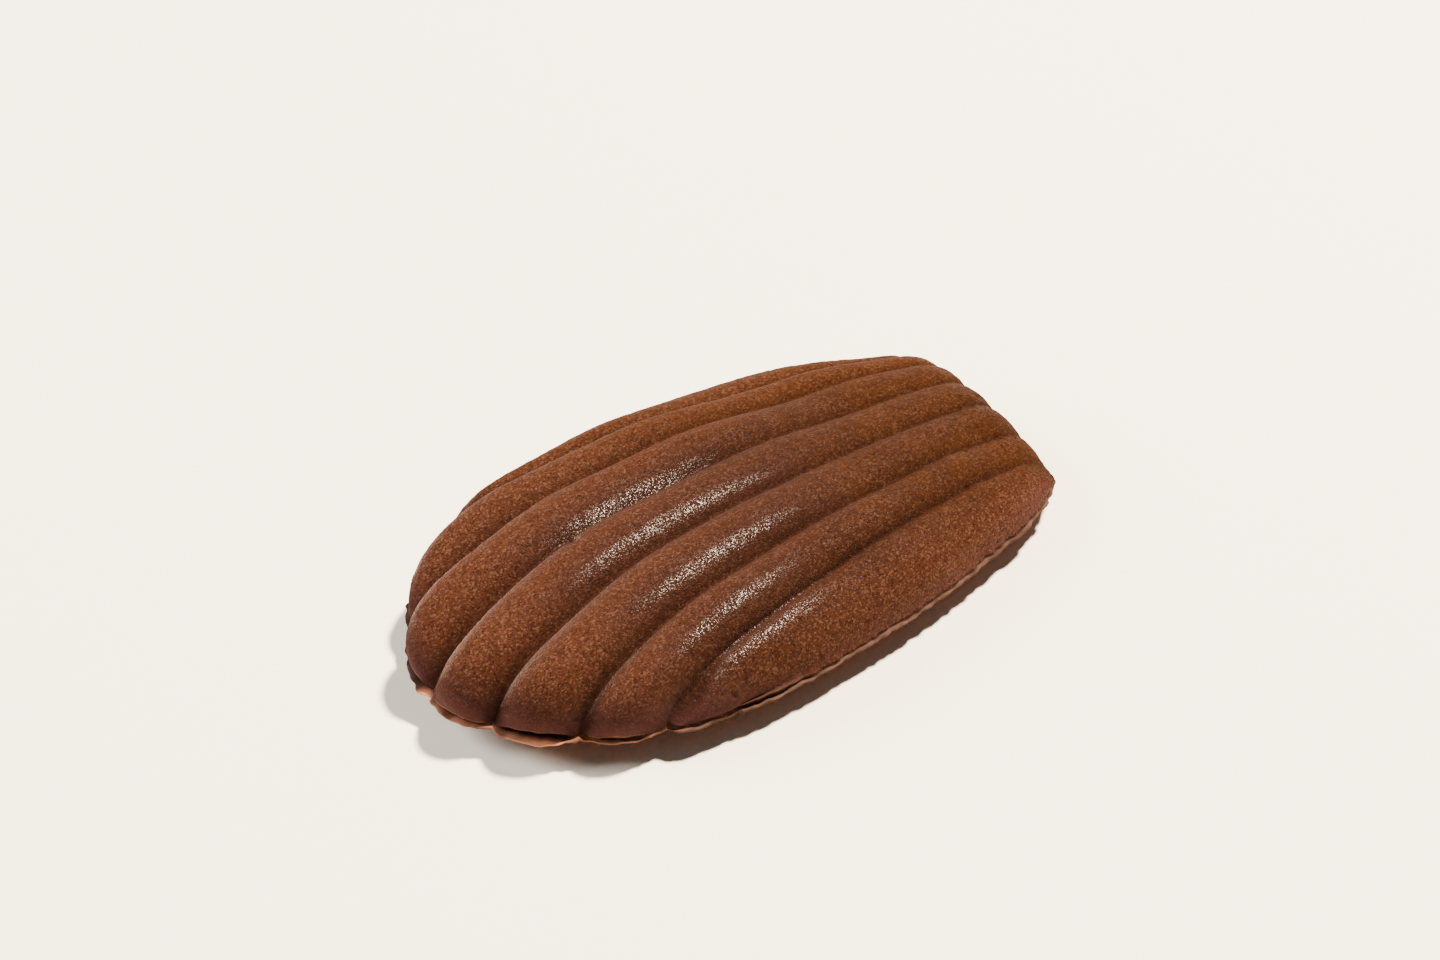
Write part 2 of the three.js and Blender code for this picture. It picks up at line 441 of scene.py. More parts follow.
@dataclass(frozen=True)
class PolishedStreak:
    """A streak along a rib that the mould left smooth, between two shares of the length."""

    rib: float
    start: float
    end: float
    shine: float = 1.0
    reach: float = 0.2
    fades_over: float = 0.16
    halo_reach: float = 0.5
    halo_longer: float = 0.08

    def cover(self, grid: ShellGrid) -> np.ndarray:
        """Gives its shine on the streak's line, falling to 0 at its sides and ends."""
        across = (1 - smooth(np.abs(grid.ribs - self.rib) / self.reach)) ** 2
        return self.shine * across * self.along(grid, 0.0)

    def halo(self, grid: ShellGrid) -> np.ndarray:
        """Gives 1 on the streak's line, falling to 0 around the darker crust beside it."""
        across = 1 - smooth(np.abs(grid.ribs - self.rib) / self.halo_reach)
        return across * self.along(grid, self.halo_longer)

    def along(self, grid: ShellGrid, longer: float) -> np.ndarray:
        """Gives 1 along the streak, made longer by a share, falling to 0 at its ends."""
        begins = smooth((grid.shares - self.start + longer) / self.fades_over)
        return begins * smooth((self.end + longer - grid.shares) / self.fades_over)


@dataclass(frozen=True)
class Pit:
    """A small pit in the crust, at a rib number and a share of the length."""

    rib: float
    share: float
    across: float
    along: float
    depth: float

    def cover(self, grid: ShellGrid) -> np.ndarray:
        """Gives 1 in the middle of the pit, falling to 0 at its edge."""
        away = ((grid.ribs - self.rib) / self.across) ** 2 + ((grid.shares - self.share) / self.along) ** 2
        return 1 - smooth(away)


@dataclass(frozen=True)
class BakedSurface:
    """The unevenness that baking leaves: long waves, lumps, dimples and crumb."""

    wave_height: float = 0.12
    wave_length: float = 17.0
    wave_count: int = 5
    wave_seed: int = 11
    lumps: Swell = Swell(0.09, 5.0, 21)
    dimples: Swell = Swell(0.05, 1.6, 22)
    crumb: Swell = Swell(0.045, 0.62, 23)
    pores: Swell = Swell(1.0, 1.1, 24)
    pore_edge: Fade = Fade(0.42, 0.25)
    pore_depth: float = 0.12
    full_at_height: float = 1.5

    def waves(self, places: np.ndarray) -> np.ndarray:
        """Gives the height of the long waves.

        Args:
            places: Points on the shell, in millimetres.

        Returns:
            The height at each point, the same in each run.
        """
        state = self.wave_seed
        total = np.zeros(places.shape[:-1])
        for _ in range(self.wave_count):
            draws = []
            for _ in range(3):
                state = (state * DRAW_FACTOR + DRAW_STEP) % DRAW_RANGE
                draws.append(state / DRAW_RANGE)
            heading = draws[0] * math.pi
            number = 2 * math.pi / (self.wave_length * (0.6 + 0.8 * draws[1]))
            along = places[..., 0] * math.cos(heading) + places[..., 1] * math.sin(heading)
            total += np.sin(number * along + draws[2] * 2 * math.pi)
        return total * self.wave_height / math.sqrt(self.wave_count / 2)

    def fine_lift(self, places: np.ndarray) -> np.ndarray:
        """Gives the height of lumps, dimples, pores and crumb.

        Args:
            places: Points on the shell, in millimetres.

        Returns:
            The height at each point.
        """
        pores = self.pore_edge.at(self.pores.at(places)) * self.pore_depth
        return self.lumps.at(places) + self.dimples.at(places) + self.crumb.at(places) - pores


@dataclass(frozen=True)
class RimPlace:
    """A stretch of the rim: a side, a place on it and a reach to both ways.

    The place is a rib number on an end of the cake, and a share of the length on a long side.
    """

    side: Side
    at: float
    reach: float

    def cover(self, rim: "Rim") -> np.ndarray:
        """Gives 1 at the place, falling to 0 at its ends, for each point of the rim."""
        along = (rim.marks - self.at) / self.reach
        return np.where(rim.on(self.side), np.clip(1 - along**2, 0, 1), 0)


@dataclass(frozen=True)
class RimGap:
    """A place where the crust pulled away from its lip and left a gap, which is painted dark as shade."""

    place: RimPlace
    depth: float
    crust_rise: float
    lip_fall: float


@dataclass
class Rim:
    """The rim's points in order, with what side they are on and a mark that says where."""

    edge: np.ndarray
    outward: np.ndarray
    sides: np.ndarray
    marks: np.ndarray

    def on(self, side: Side) -> np.ndarray:
        """Tells which points are on a side."""
        return self.sides == side.value


@dataclass(frozen=True)
class FlashLip:
    """The thin uneven lip, where batter crept over the edge of the mould."""

    reach: float = 0.42
    least_reach: float = 0.12
    most_reach: float = 0.9
    reach_varies: Swell = Swell(0.25, 5.0, 32)
    reach_fray: Swell = Swell(0.32, 1.2, 31)
    top: float = 0.38
    top_fray: Swell = Swell(0.2, 1.2, 33)
    bottom: float = 0.08
    bottom_varies: Swell = Swell(0.08, 5.0, 34)
    crust_fray: Swell = Swell(0.22, 1.2, 35)
    least_opening: float = 0.02
    gaps: tuple[RimGap, ...] = (
        RimGap(RimPlace(Side.WIDE_END, -1.0, 0.46), 1.1, 0.4, 0.2),
        RimGap(RimPlace(Side.WIDE_END, -2.0, 0.26), 0.2, 0.15, 0.0),
        RimGap(RimPlace(Side.WIDE_END, 0.1, 0.2), 0.25, 0.12, 0.05),
        RimGap(RimPlace(Side.WIDE_END, 0.8, 0.4), 0.9, 0.45, 0.1),
        RimGap(RimPlace(Side.NEAR, 0.28, 0.14), 0.3, 0.25, 0.05),
        RimGap(RimPlace(Side.FAR, 0.9, 0.04), 0.5, 0.2, 0.0),
    )
    broad_place: RimPlace = RimPlace(Side.WIDE_END, -0.6, 1.1)
    broadens: float = 0.3
    spread_place: RimPlace = RimPlace(Side.NEAR, 0.55, 0.5)
    spreads: float = 0.26
    gap_dark_at: float = 0.4
    fold_paleness: float = 0.7
    fold_places: tuple[RimPlace, ...] = (
        RimPlace(Side.NEAR, 0.2, 0.24),
        RimPlace(Side.WIDE_END, -2.0, 0.4),
        RimPlace(Side.WIDE_END, 0.0, 0.4),
    )
    tan_places: tuple[RimPlace, ...] = (
        RimPlace(Side.WIDE_END, -1.15, 0.38),
        RimPlace(Side.WIDE_END, 0.6, 0.12),
    )
    pale_place: RimPlace = RimPlace(Side.WIDE_END, -0.9, 1.8)
    pale_share: float = 0.4

    def crust_rise(self, rim: Rim) -> np.ndarray:
        """Gives how far the crust's lower edge stands up over its usual place."""
        rises = [gap.place.cover(rim) * gap.crust_rise for gap in self.gaps]
        return np.max(rises, axis=0)

    def fray_crust(self, rim: Rim) -> None:
        """Lifts the crust's edge at the gaps, frays it and spreads it over its lip on the near side.

        Args:
            rim: The crust's lower edge, which this changes.
        """
        rim.edge[:, 2] += self.crust_rise(rim)
        further = self.crust_fray.at(rim.edge) + self.spread_place.cover(rim) * self.spreads
        rim.edge += rim.outward * further[:, None]

    def fold(self, rim: Rim) -> np.ndarray:
        """Gives how much the crust's edge folded out, thin and pale, from 0 to 1."""
        return np.sqrt(np.max([place.cover(rim) for place in self.fold_places], axis=0))

    def tan(self, rim: Rim) -> np.ndarray:
        """Gives how tan the lip is, from 0 to 1: partly where it is pale."""
        pale = self.pale_place.cover(rim) * self.pale_share
        return np.max([pale, *(place.cover(rim) for place in self.tan_places)], axis=0)

    def rings(self, rim: Rim) -> list[tuple[np.ndarray, np.ndarray | float, np.ndarray]]:
        """Works out the lip's rings, from under the crust's edge to the lip's underside.

        Args:
            rim: The crust's lower edge.

        Returns:
            For each ring its points, how much it is lip and how much it carries the gap's painted shade.
        """
        depth = np.max([gap.place.cover(rim) * gap.depth for gap in self.gaps], axis=0)
        fall = np.max([gap.place.cover(rim) * gap.lip_fall for gap in self.gaps], axis=0)
        broad = self.broad_place.cover(rim) * self.broadens
        reach = self.reach + broad + self.reach_varies.at(rim.edge) + self.reach_fray.at(rim.edge)
        reach = np.clip(reach, self.least_reach, self.most_reach)
        top = self.top - fall + self.top_fray.at(rim.edge)
        bottom = self.bottom - fall + self.bottom_varies.at(rim.edge)
        thick = top - bottom
        crust = rim.edge[:, 2]
        opening = np.maximum(crust - top, self.least_opening)
        # Painted shade in the gaps, full where a gap is deep.
        painted_gap_shade = np.clip(depth / self.gap_dark_at, 0, 1)
        no_gap = np.zeros(len(depth))
        fold = self.fold(rim)
        # Each ring: how far out it lies from the crust's edge, its height, how much it is lip, and how
        # much painted shade of the gap it carries.
        profile = [
            (0.04 + 0.14 * fold - 0.39 * depth, crust - 0.25 * opening, fold, painted_gap_shade * 0.6 * (1 - fold)),
            (0.06 - 0.91 * depth, crust - 0.5 * opening, 0.0, painted_gap_shade),
            (0.08 - 1.08 * depth, crust - 0.75 * opening, 0.2, painted_gap_shade),
            (0.1 - 0.9 * depth, top + 0.05 * opening, 0.5, painted_gap_shade),
            (0.14 - 0.34 * depth, top, 0.8, painted_gap_shade * 0.3),
            (0.45 * reach, top - 0.02, 1.0, no_gap),
            (0.8 * reach, top - 0.08 * thick, 1.0, no_gap),
            (0.97 * reach, top - 0.3 * thick, 1.0, no_gap),
            (reach, top - 0.55 * thick, 1.0, no_gap),
            (0.93 * reach, top - 0.85 * thick, 0.9, no_gap),
            (0.7 * reach, bottom, 0.6, no_gap),
        ]
        rings = []
        for offset, level, lip, gap in profile:
            places = rim.edge + rim.outward * np.asarray(offset)[:, None]
            places[:, 2] = level
            rings.append((places, lip, gap))
        return rings


@dataclass(frozen=True)
class LowCrown:
    """The low crown underneath, flat in the middle, where the cake rests."""

    depth: float = 3.0
    flat_share: float = 0.5
    outer_share: float = 0.97
    fall: float = 1.8
    ring_count: int = 14
    last_share: float = 0.03
    bumps: Swell = Swell(0.12, 2.2, 41)

    def rings(self, edge: np.ndarray) -> list[np.ndarray]:
        """Works out the crown's rings, from the lip towards the middle.

        Args:
            edge: The shell's smooth edge, which the crown follows.

        Returns:
            The points of each ring.
        """
        middle = edge.mean(0)
        rings = []
        for step in range(self.ring_count):
            share = self.outer_share + (self.last_share - self.outer_share) * step / (self.ring_count - 1)
            slope = np.clip((share - self.flat_share) / (self.outer_share - self.flat_share), 0, 1)
            places = middle + (edge - middle) * share
            places[:, 2] = -self.depth * (1 - slope**self.fall)
            places[:, 2] += self.bumps.at(places) * smooth(np.asarray(slope) * 4)
            rings.append(places)
        return rings


class ShaderSketch:
    """Adds shader nodes to a material in short calls."""

    def __init__(self, name: str) -> None:
        """Starts a material with an output and a principled shader.

        Args:
            name: The material's name.
        """
        self.material = bpy.data.materials.new(name)
        self.material.use_nodes = True
        self.tree = self.material.node_tree
        self.tree.nodes.clear()
        output = self.tree.nodes.new("ShaderNodeOutputMaterial")
        self.surface = self.tree.nodes.new("ShaderNodeBsdfPrincipled")
        self.tree.links.new(self.surface.outputs["BSDF"], output.inputs["Surface"])

    def join(self, source: object, target: Socket) -> None:
        """Links an output to an input, or sets the input where the source is a value.

        Args:
            source: The output or the value.
            target: The input.
        """
        if isinstance(source, Socket):
            self.tree.links.new(source, target)
        else:
            target.default_value = source

    def object_millimetres(self) -> Socket:
        """Gives the place on the object.

        Returns:
            The place, in millimetres.
        """
        coordinates = self.tree.nodes.new("ShaderNodeTexCoord")
        scale = self.tree.nodes.new("ShaderNodeVectorMath")
        scale.operation = "SCALE"
        scale.inputs["Scale"].default_value = METRE
        self.join(coordinates.outputs["Object"], scale.inputs[0])
        return scale.outputs[0]

    def attribute(self, name: str) -> Socket:
        """Reads a value that the mesh keeps for each point.

        Args:
            name: The value's name.

        Returns:
            The value.
        """
        node = self.tree.nodes.new("ShaderNodeAttribute")
        node.attribute_name = name
        return node.outputs["Fac"]

    def noise(self, place: Socket, size: float, detail: float) -> Socket:
        """Makes smooth noise.

        Args:
            place: Where, in millimetres.
            size: Width of a swell, in millimetres.
            detail: How many finer layers it has.

        Returns:
            A random value about from 0 to 1.
        """
        node = self.tree.nodes.new("ShaderNodeTexNoise")
        node.inputs["Scale"].default_value = 1 / size
        node.inputs["Detail"].default_value = detail
        self.join(place, node.inputs["Vector"])
        return node.outputs["Fac"]

    def grains(self, place: Socket, size: float) -> tuple[Socket, Socket]:
        """Makes grains.

        Args:
            place: Where, in millimetres.
            size: Width of a grain, in millimetres.

        Returns:
            A random value for each grain, and the distance from its middle.
        """
        node = self.tree.nodes.new("ShaderNodeTexVoronoi")
        node.inputs["Scale"].default_value = 1 / size
        self.join(place, node.inputs["Vector"])
        split = self.tree.nodes.new("ShaderNodeSeparateColor")
        self.join(node.outputs["Color"], split.inputs[0])
        return split.outputs[0], node.outputs["Distance"]

    def joined(self, how: Join, first: object, second: object) -> Socket:
        """Joins two values.

        Args:
            how: The way.
            first: An output or a number.
            second: An output or a number.

        Returns:
            The value that comes out.
        """
        node = self.tree.nodes.new("ShaderNodeMath")
        node.operation = how.value
        self.join(first, node.inputs[0])
        self.join(second, node.inputs[1])
        return node.outputs[0]

    def total(self, first: object, second: object) -> Socket:
        """Adds two values."""
        return self.joined(Join.TOTAL, first, second)

    def product(self, first: object, second: object) -> Socket:
        """Multiplies two values."""
        return self.joined(Join.PRODUCT, first, second)

    def larger(self, first: object, second: object) -> Socket:
        """Gives the larger of two values."""
        return self.joined(Join.LARGER, first, second)

    def ranged(
        self, value: Socket, low: float, high: float, to_low: float = 0.0, to_high: float = 1.0
    ) -> Socket:
        """Maps a value smoothly from one range to another, and keeps it there.

        Args:
            value: The value.
            low: Where the first range starts.
            high: Where it ends.
            to_low: What low becomes.
            to_high: What high becomes.

        Returns:
            The mapped value.
        """
        node = self.tree.nodes.new("ShaderNodeMapRange")
        node.interpolation_type = "SMOOTHSTEP"
        self.join(value, node.inputs["Value"])
        numbers = {"From Min": low, "From Max": high, "To Min": to_low, "To Max": to_high}
        for name, number in numbers.items():
            node.inputs[name].default_value = number
        return node.outputs["Result"]

    def blend(self, share: object, first: object, second: object) -> Socket:
        """Mixes two colours.

        Args:
            share: How much of the second colour there is, from 0 to 1.
            first: A colour or an output.
            second: A colour or an output.

        Returns:
            The mixed colour.
        """
        node = self.tree.nodes.new("ShaderNodeMix")
        node.data_type = "RGBA"
        self.join(share, node.inputs[0])
        self.join(first, node.inputs[6])
        self.join(second, node.inputs[7])
        return node.outputs[2]

    def bump(self, height: Socket, distance: float, strength: object) -> None:
        """Gives the shader a relief.

        Args:
            height: Heights from 0 to 1.
            distance: The height that 1 stands for, in metres.
            strength: How much of it shows.
        """
        node = self.tree.nodes.new("ShaderNodeBump")
        node.inputs["Distance"].default_value = distance
        self.join(strength, node.inputs["Strength"])
        self.join(height, node.inputs["Height"])
        self.join(node.outputs["Normal"], self.surface.inputs["Normal"])
        self.join(node.outputs["Normal"], self.surface.inputs["Coat Normal"])


class CrumbSketch(ShaderSketch):
    """The crust's shader, with the cake's point values and the patterns of its crumb."""

    def __init__(self, finish: "ChocolateCrumb") -> None:
        """Reads the point values and makes the patterns.

        Args:
            finish: What the crumb looks like.
        """
        super().__init__("chocolate_crumb")
        self.place = self.object_millimetres()
        self.marks = {name: self.attribute(name) for name in POINT_VALUES}
        self.grain, self.from_middle = self.grains(self.place, finish.grain_size)
        self.fine = self.noise(self.place, finish.fine_size, 2.0)
        smoothed = self.total(self.product(self.marks["band"], finish.band_smoothness), self.marks["lip"])
        self.crumbly = self.ranged(smoothed, 0.0, 1.0, 1.0, finish.least_crumbly)


@dataclass(frozen=True)
class ChocolateCrumb:
    """The finish of the baked chocolate crust: brown crumb with light and dark grains, with painted light
    and painted shade.
    """

    crust: Colour = field(default_factory=lambda: paint(36, 20, 14))
    # A warmer bake at the narrow end, and painted light on the lit far ribs.
    warm: Colour = field(default_factory=lambda: paint(48, 25, 8))
    # Painted light: paler on the wide end, near side and far ribs; partly a paler bake at the wide end.
    pale: Colour = field(default_factory=lambda: paint(54, 30, 20))
    light_grain: Colour = field(default_factory=lambda: paint(88, 63, 49))
    # Dark grains, and also the painted shade in the grooves.
    dark_grain_and_groove_shade: Colour = field(default_factory=lambda: paint(23, 11, 9))
    polished: Colour = field(default_factory=lambda: paint(33, 19, 17))
    band: Colour = field(default_factory=lambda: paint(56, 34, 35))
    edge: Colour = field(default_factory=lambda: paint(62, 38, 31))
    lip: Colour = field(default_factory=lambda: paint(74, 56, 49))
    tan_lip: Colour = field(default_factory=lambda: paint(188, 125, 92))
    # Painted shade in the rim's gaps and in the pits.
    gap: Colour = field(default_factory=lambda: paint(44, 20, 16))
    under: Colour = field(default_factory=lambda: paint(90, 50, 28))

    grain_size: float = 0.2
    coarse_grains: float = 1.3
    fine_size: float = 0.15
    broken_size: float = 1.6
    patch_size: float = 7.0
    lip_patch_size: float = 2.4

    patch_range: tuple[float, float] = (0.3, 0.7)
    patch_warmth: float = 0.25
    edge_cover: float = 0.6
    light_range: tuple[float, float] = (0.66, 1.0)
    light_cover: float = 0.48
    light_on_dark_crust: float = 0.5
    dark_range: tuple[float, float] = (0.35, 0.05)
    dark_cover: float = 0.6
    pore_range: tuple[float, float] = (0.35, 0.2)
    pore_cover: float = 0.5
    polish_cover: float = 0.5
    band_cover: float = 0.7
    under_cover: float = 0.8
    lip_patch_range: tuple[float, float] = (0.4, 0.6)
    least_lip_cover: float = 0.5

    band_smoothness: float = 0.5
    least_crumbly: float = 0.35
    grain_relief: float = 0.6
    fine_relief: float = 0.7
    bump_distance: float = 0.00008
    matt_roughness: float = 0.7
    matt_specular: float = 0.0
    worn_range: tuple[float, float] = (0.48, 0.64)
    broken_range: tuple[float, float] = (0.35, 0.6)
    least_gloss: float = 0.5
    polished_roughness: float = 0.28
    polished_ior: float = 1.9
    sheen: float = 0.15
    sheen_roughness: float = 0.3
    sheen_tint: Colour = (1.0, 0.78, 0.72, 1.0)

    def material(self) -> bpy.types.Material:
        """Builds the material.

        Returns:
            A procedural material that reads the cake's own point values.
        """
        sketch = CrumbSketch(self)
        colour = self.brown(sketch)
        colour = self.speckled(sketch, colour)
        colour = self.marked(sketch, colour)
        sketch.join(colour, sketch.surface.inputs["Base Color"])
        self.polish(sketch)
        self.roughen(sketch)
        return sketch.material

    def brown(self, sketch: CrumbSketch) -> Socket:
        """Gives the crust's brown: warm in patches, at the narrow end and, as painted light, on the far
        ribs; paler as painted light on the wide end, near side and far ribs.

        Args:
            sketch: The crust's shader.

        Returns:
            The colour.
        """
        marks = sketch.marks
        patch = sketch.noise(sketch.place, self.patch_size, 3.0)
        patchy = sketch.ranged(patch, *self.patch_range, 0.0, self.patch_warmth)
        warmth = sketch.ranged(sketch.total(marks["warm"], patchy), 0.0, 1.0)
        colour = sketch.blend(warmth, self.crust, self.warm)
        colour = sketch.blend(marks["pale"], colour, self.pale)
        return sketch.blend(sketch.product(marks["edge"], self.edge_cover), colour, self.edge)

    def speckled(self, sketch: CrumbSketch, colour: Socket) -> Socket:
        """Scatters light and dark grains and fine pores over a colour, fewer where the crust is smooth.

        Args:
            sketch: The crust's shader.
            colour: The colour.

        Returns:
            The colour with its grains.
        """
        paler = sketch.ranged(sketch.marks["pale"], 0.0, 1.0, self.light_on_dark_crust, 1.0)
        light = sketch.ranged(sketch.grain, *self.light_range, 0.0, self.light_cover)
        light = sketch.product(light, sketch.product(sketch.crumbly, paler))
        dark = sketch.ranged(sketch.grain, *self.dark_range, 0.0, self.dark_cover)
        dark = sketch.product(dark, sketch.crumbly)
        pores = sketch.ranged(sketch.fine, *self.pore_range, 0.0, self.pore_cover)
        colour = sketch.blend(light, colour, self.light_grain)
        colour = sketch.blend(dark, colour, self.dark_grain_and_groove_shade)
        return sketch.blend(pores, colour, self.dark_grain_and_groove_shade)

    def marked(self, sketch: CrumbSketch, colour: Socket) -> Socket:
        """Adds the darker streaks and band, the painted shade in the grooves, the underside, the lip, and
        the painted shade in its gaps and the pits to a colour.

        Args:
            sketch: The crust's shader.
            colour: The colour.

        Returns:
            The cake's whole colour.
        """
        marks = sketch.marks
        darker = sketch.product(sketch.larger(marks["polish"], marks["halo"]), self.polish_cover)
        colour = sketch.blend(darker, colour, self.polished)
        colour = sketch.blend(sketch.product(marks["band"], self.band_cover), colour, self.band)
        # Painted shade in the grooves.
        colour = sketch.blend(marks["groove"], colour, self.dark_grain_and_groove_shade)
        colour = sketch.blend(sketch.product(marks["under"], self.under_cover), colour, self.under)
        patch = sketch.noise(sketch.place, self.lip_patch_size, 2.0)
        patchy = sketch.ranged(patch, *self.lip_patch_range, self.least_lip_cover, 1.0)
        lip_cover = sketch.product(marks["lip"], sketch.larger(patchy, marks["tan"]))
        colour = sketch.blend(lip_cover, colour, sketch.blend(marks["tan"], self.lip, self.tan_lip))
        # Painted shade in the rim's gaps and the pits.
        return sketch.blend(marks["gap"], colour, self.gap)

    def polish(self, sketch: CrumbSketch) -> None:
        """Gives the crust its gloss, which the crumb breaks up, and a faint sheen.

        Args:
            sketch: The crust's shader.
        """
        inputs = sketch.surface.inputs
        worn = sketch.ranged(sketch.noise(sketch.place, self.grain_size, 2.0), *self.worn_range)
        breaks = sketch.noise(sketch.place, self.broken_size, 2.0)
        broken = sketch.ranged(breaks, *self.broken_range, self.least_gloss, 1.0)
        gloss = sketch.product(sketch.marks["polish"], sketch.product(worn, broken))
        sketch.join(gloss, inputs["Coat Weight"])
        inputs["Coat Roughness"].default_value = self.polished_roughness
        inputs["Coat IOR"].default_value = self.polished_ior
        inputs["Roughness"].default_value = self.matt_roughness
        inputs["Specular IOR Level"].default_value = self.matt_specular
        inputs["Sheen Weight"].default_value = self.sheen
        inputs["Sheen Roughness"].default_value = self.sheen_roughness
        inputs["Sheen Tint"].default_value = self.sheen_tint

    def roughen(self, sketch: CrumbSketch) -> None:
        """Gives the crust the relief of its crumb.

        Args:
            sketch: The crust's shader.
        """
        grains = sketch.product(sketch.from_middle, -self.grain_relief)
        height = sketch.total(grains, sketch.product(sketch.fine, self.fine_relief))
        coarse = sketch.noise(sketch.place, self.grain_size * self.coarse_grains, 3.0)
        sketch.bump(sketch.total(height, coarse), self.bump_distance, sketch.crumbly)


class ClosedSkin:
    """A skin that grows from a grid by rings to one last point, with values for each of its points."""

    def __init__(self, grid: np.ndarray, values: dict[str, np.ndarray]) -> None:
        """Starts the skin.

        Args:
            grid: Points in millimetres, by column and row.
            values: A value for each of them, by name.
        """
        columns, rows = grid.shape[:2]
        numbers = np.arange(columns * rows).reshape(columns, rows)
        corners = [numbers[:-1, :-1], numbers[:-1, 1:], numbers[1:, 1:], numbers[1:, :-1]]
        self.places = [grid.reshape(-1, 3)]
        self.values = {name: [value] for name, value in values.items()}
        self.faces = [np.stack(corners, -1).reshape(-1, 4)]
        self.last_ring = loop_of(numbers)
        self.count = columns * rows

    def add_points(self, places: np.ndarray, values: dict[str, np.ndarray | float]) -> None:
        """Adds points, as yet without faces.

        Args:
            places: The points.
            values: Their values by name. A value that isn't named is 0.
        """
        self.places.append(places)
        self.count += len(places)
        for name, parts in self.values.items():
            parts.append(np.broadcast_to(values.get(name, 0.0), len(places)))

    def add_ring(self, ring: np.ndarray, values: dict[str, np.ndarray | float]) -> None:
        """Joins a ring to the last one by a band of faces.

        Args:
            ring: The ring's points, as many as the last one has.
            values: Their values by name.
        """
        inner = self.last_ring
        outer = np.arange(self.count, self.count + len(ring))
        self.faces.append(np.stack([inner, outer, np.roll(outer, -1), np.roll(inner, -1)], -1))
        self.add_points(ring, values)
        self.last_ring = outer

    def close(self, name: str, values: dict[str, float], moved_by: np.ndarray) -> bpy.types.Mesh:
        """Closes the last ring round a point in its middle.

        Args:
            name: The mesh's name.
            values: The last point's values by name.
            moved_by: How far all the points are moved, in millimetres.

        Returns:
            The closed mesh in metres, which keeps each point's values.
        """
        tip = self.count
        ends = np.roll(self.last_ring, -1)
        fan = [(int(start), tip, int(end)) for start, end in zip(self.last_ring, ends)]
        self.add_points(self.places[-1].mean(0)[None], values)
        points = (np.concatenate(self.places) + moved_by) / METRE
        mesh = bpy.data.meshes.new(name)
        mesh.from_pydata(points.tolist(), [], np.concatenate(self.faces).tolist() + fan)
        for value_name, parts in self.values.items():
            attribute = mesh.attributes.new(value_name, "FLOAT", "POINT")
            attribute.data.foreach_set("value", np.concatenate(parts).astype(np.float32))
        mesh.polygons.foreach_set("use_smooth", [True] * len(mesh.polygons))
        mesh.update()
        return mesh


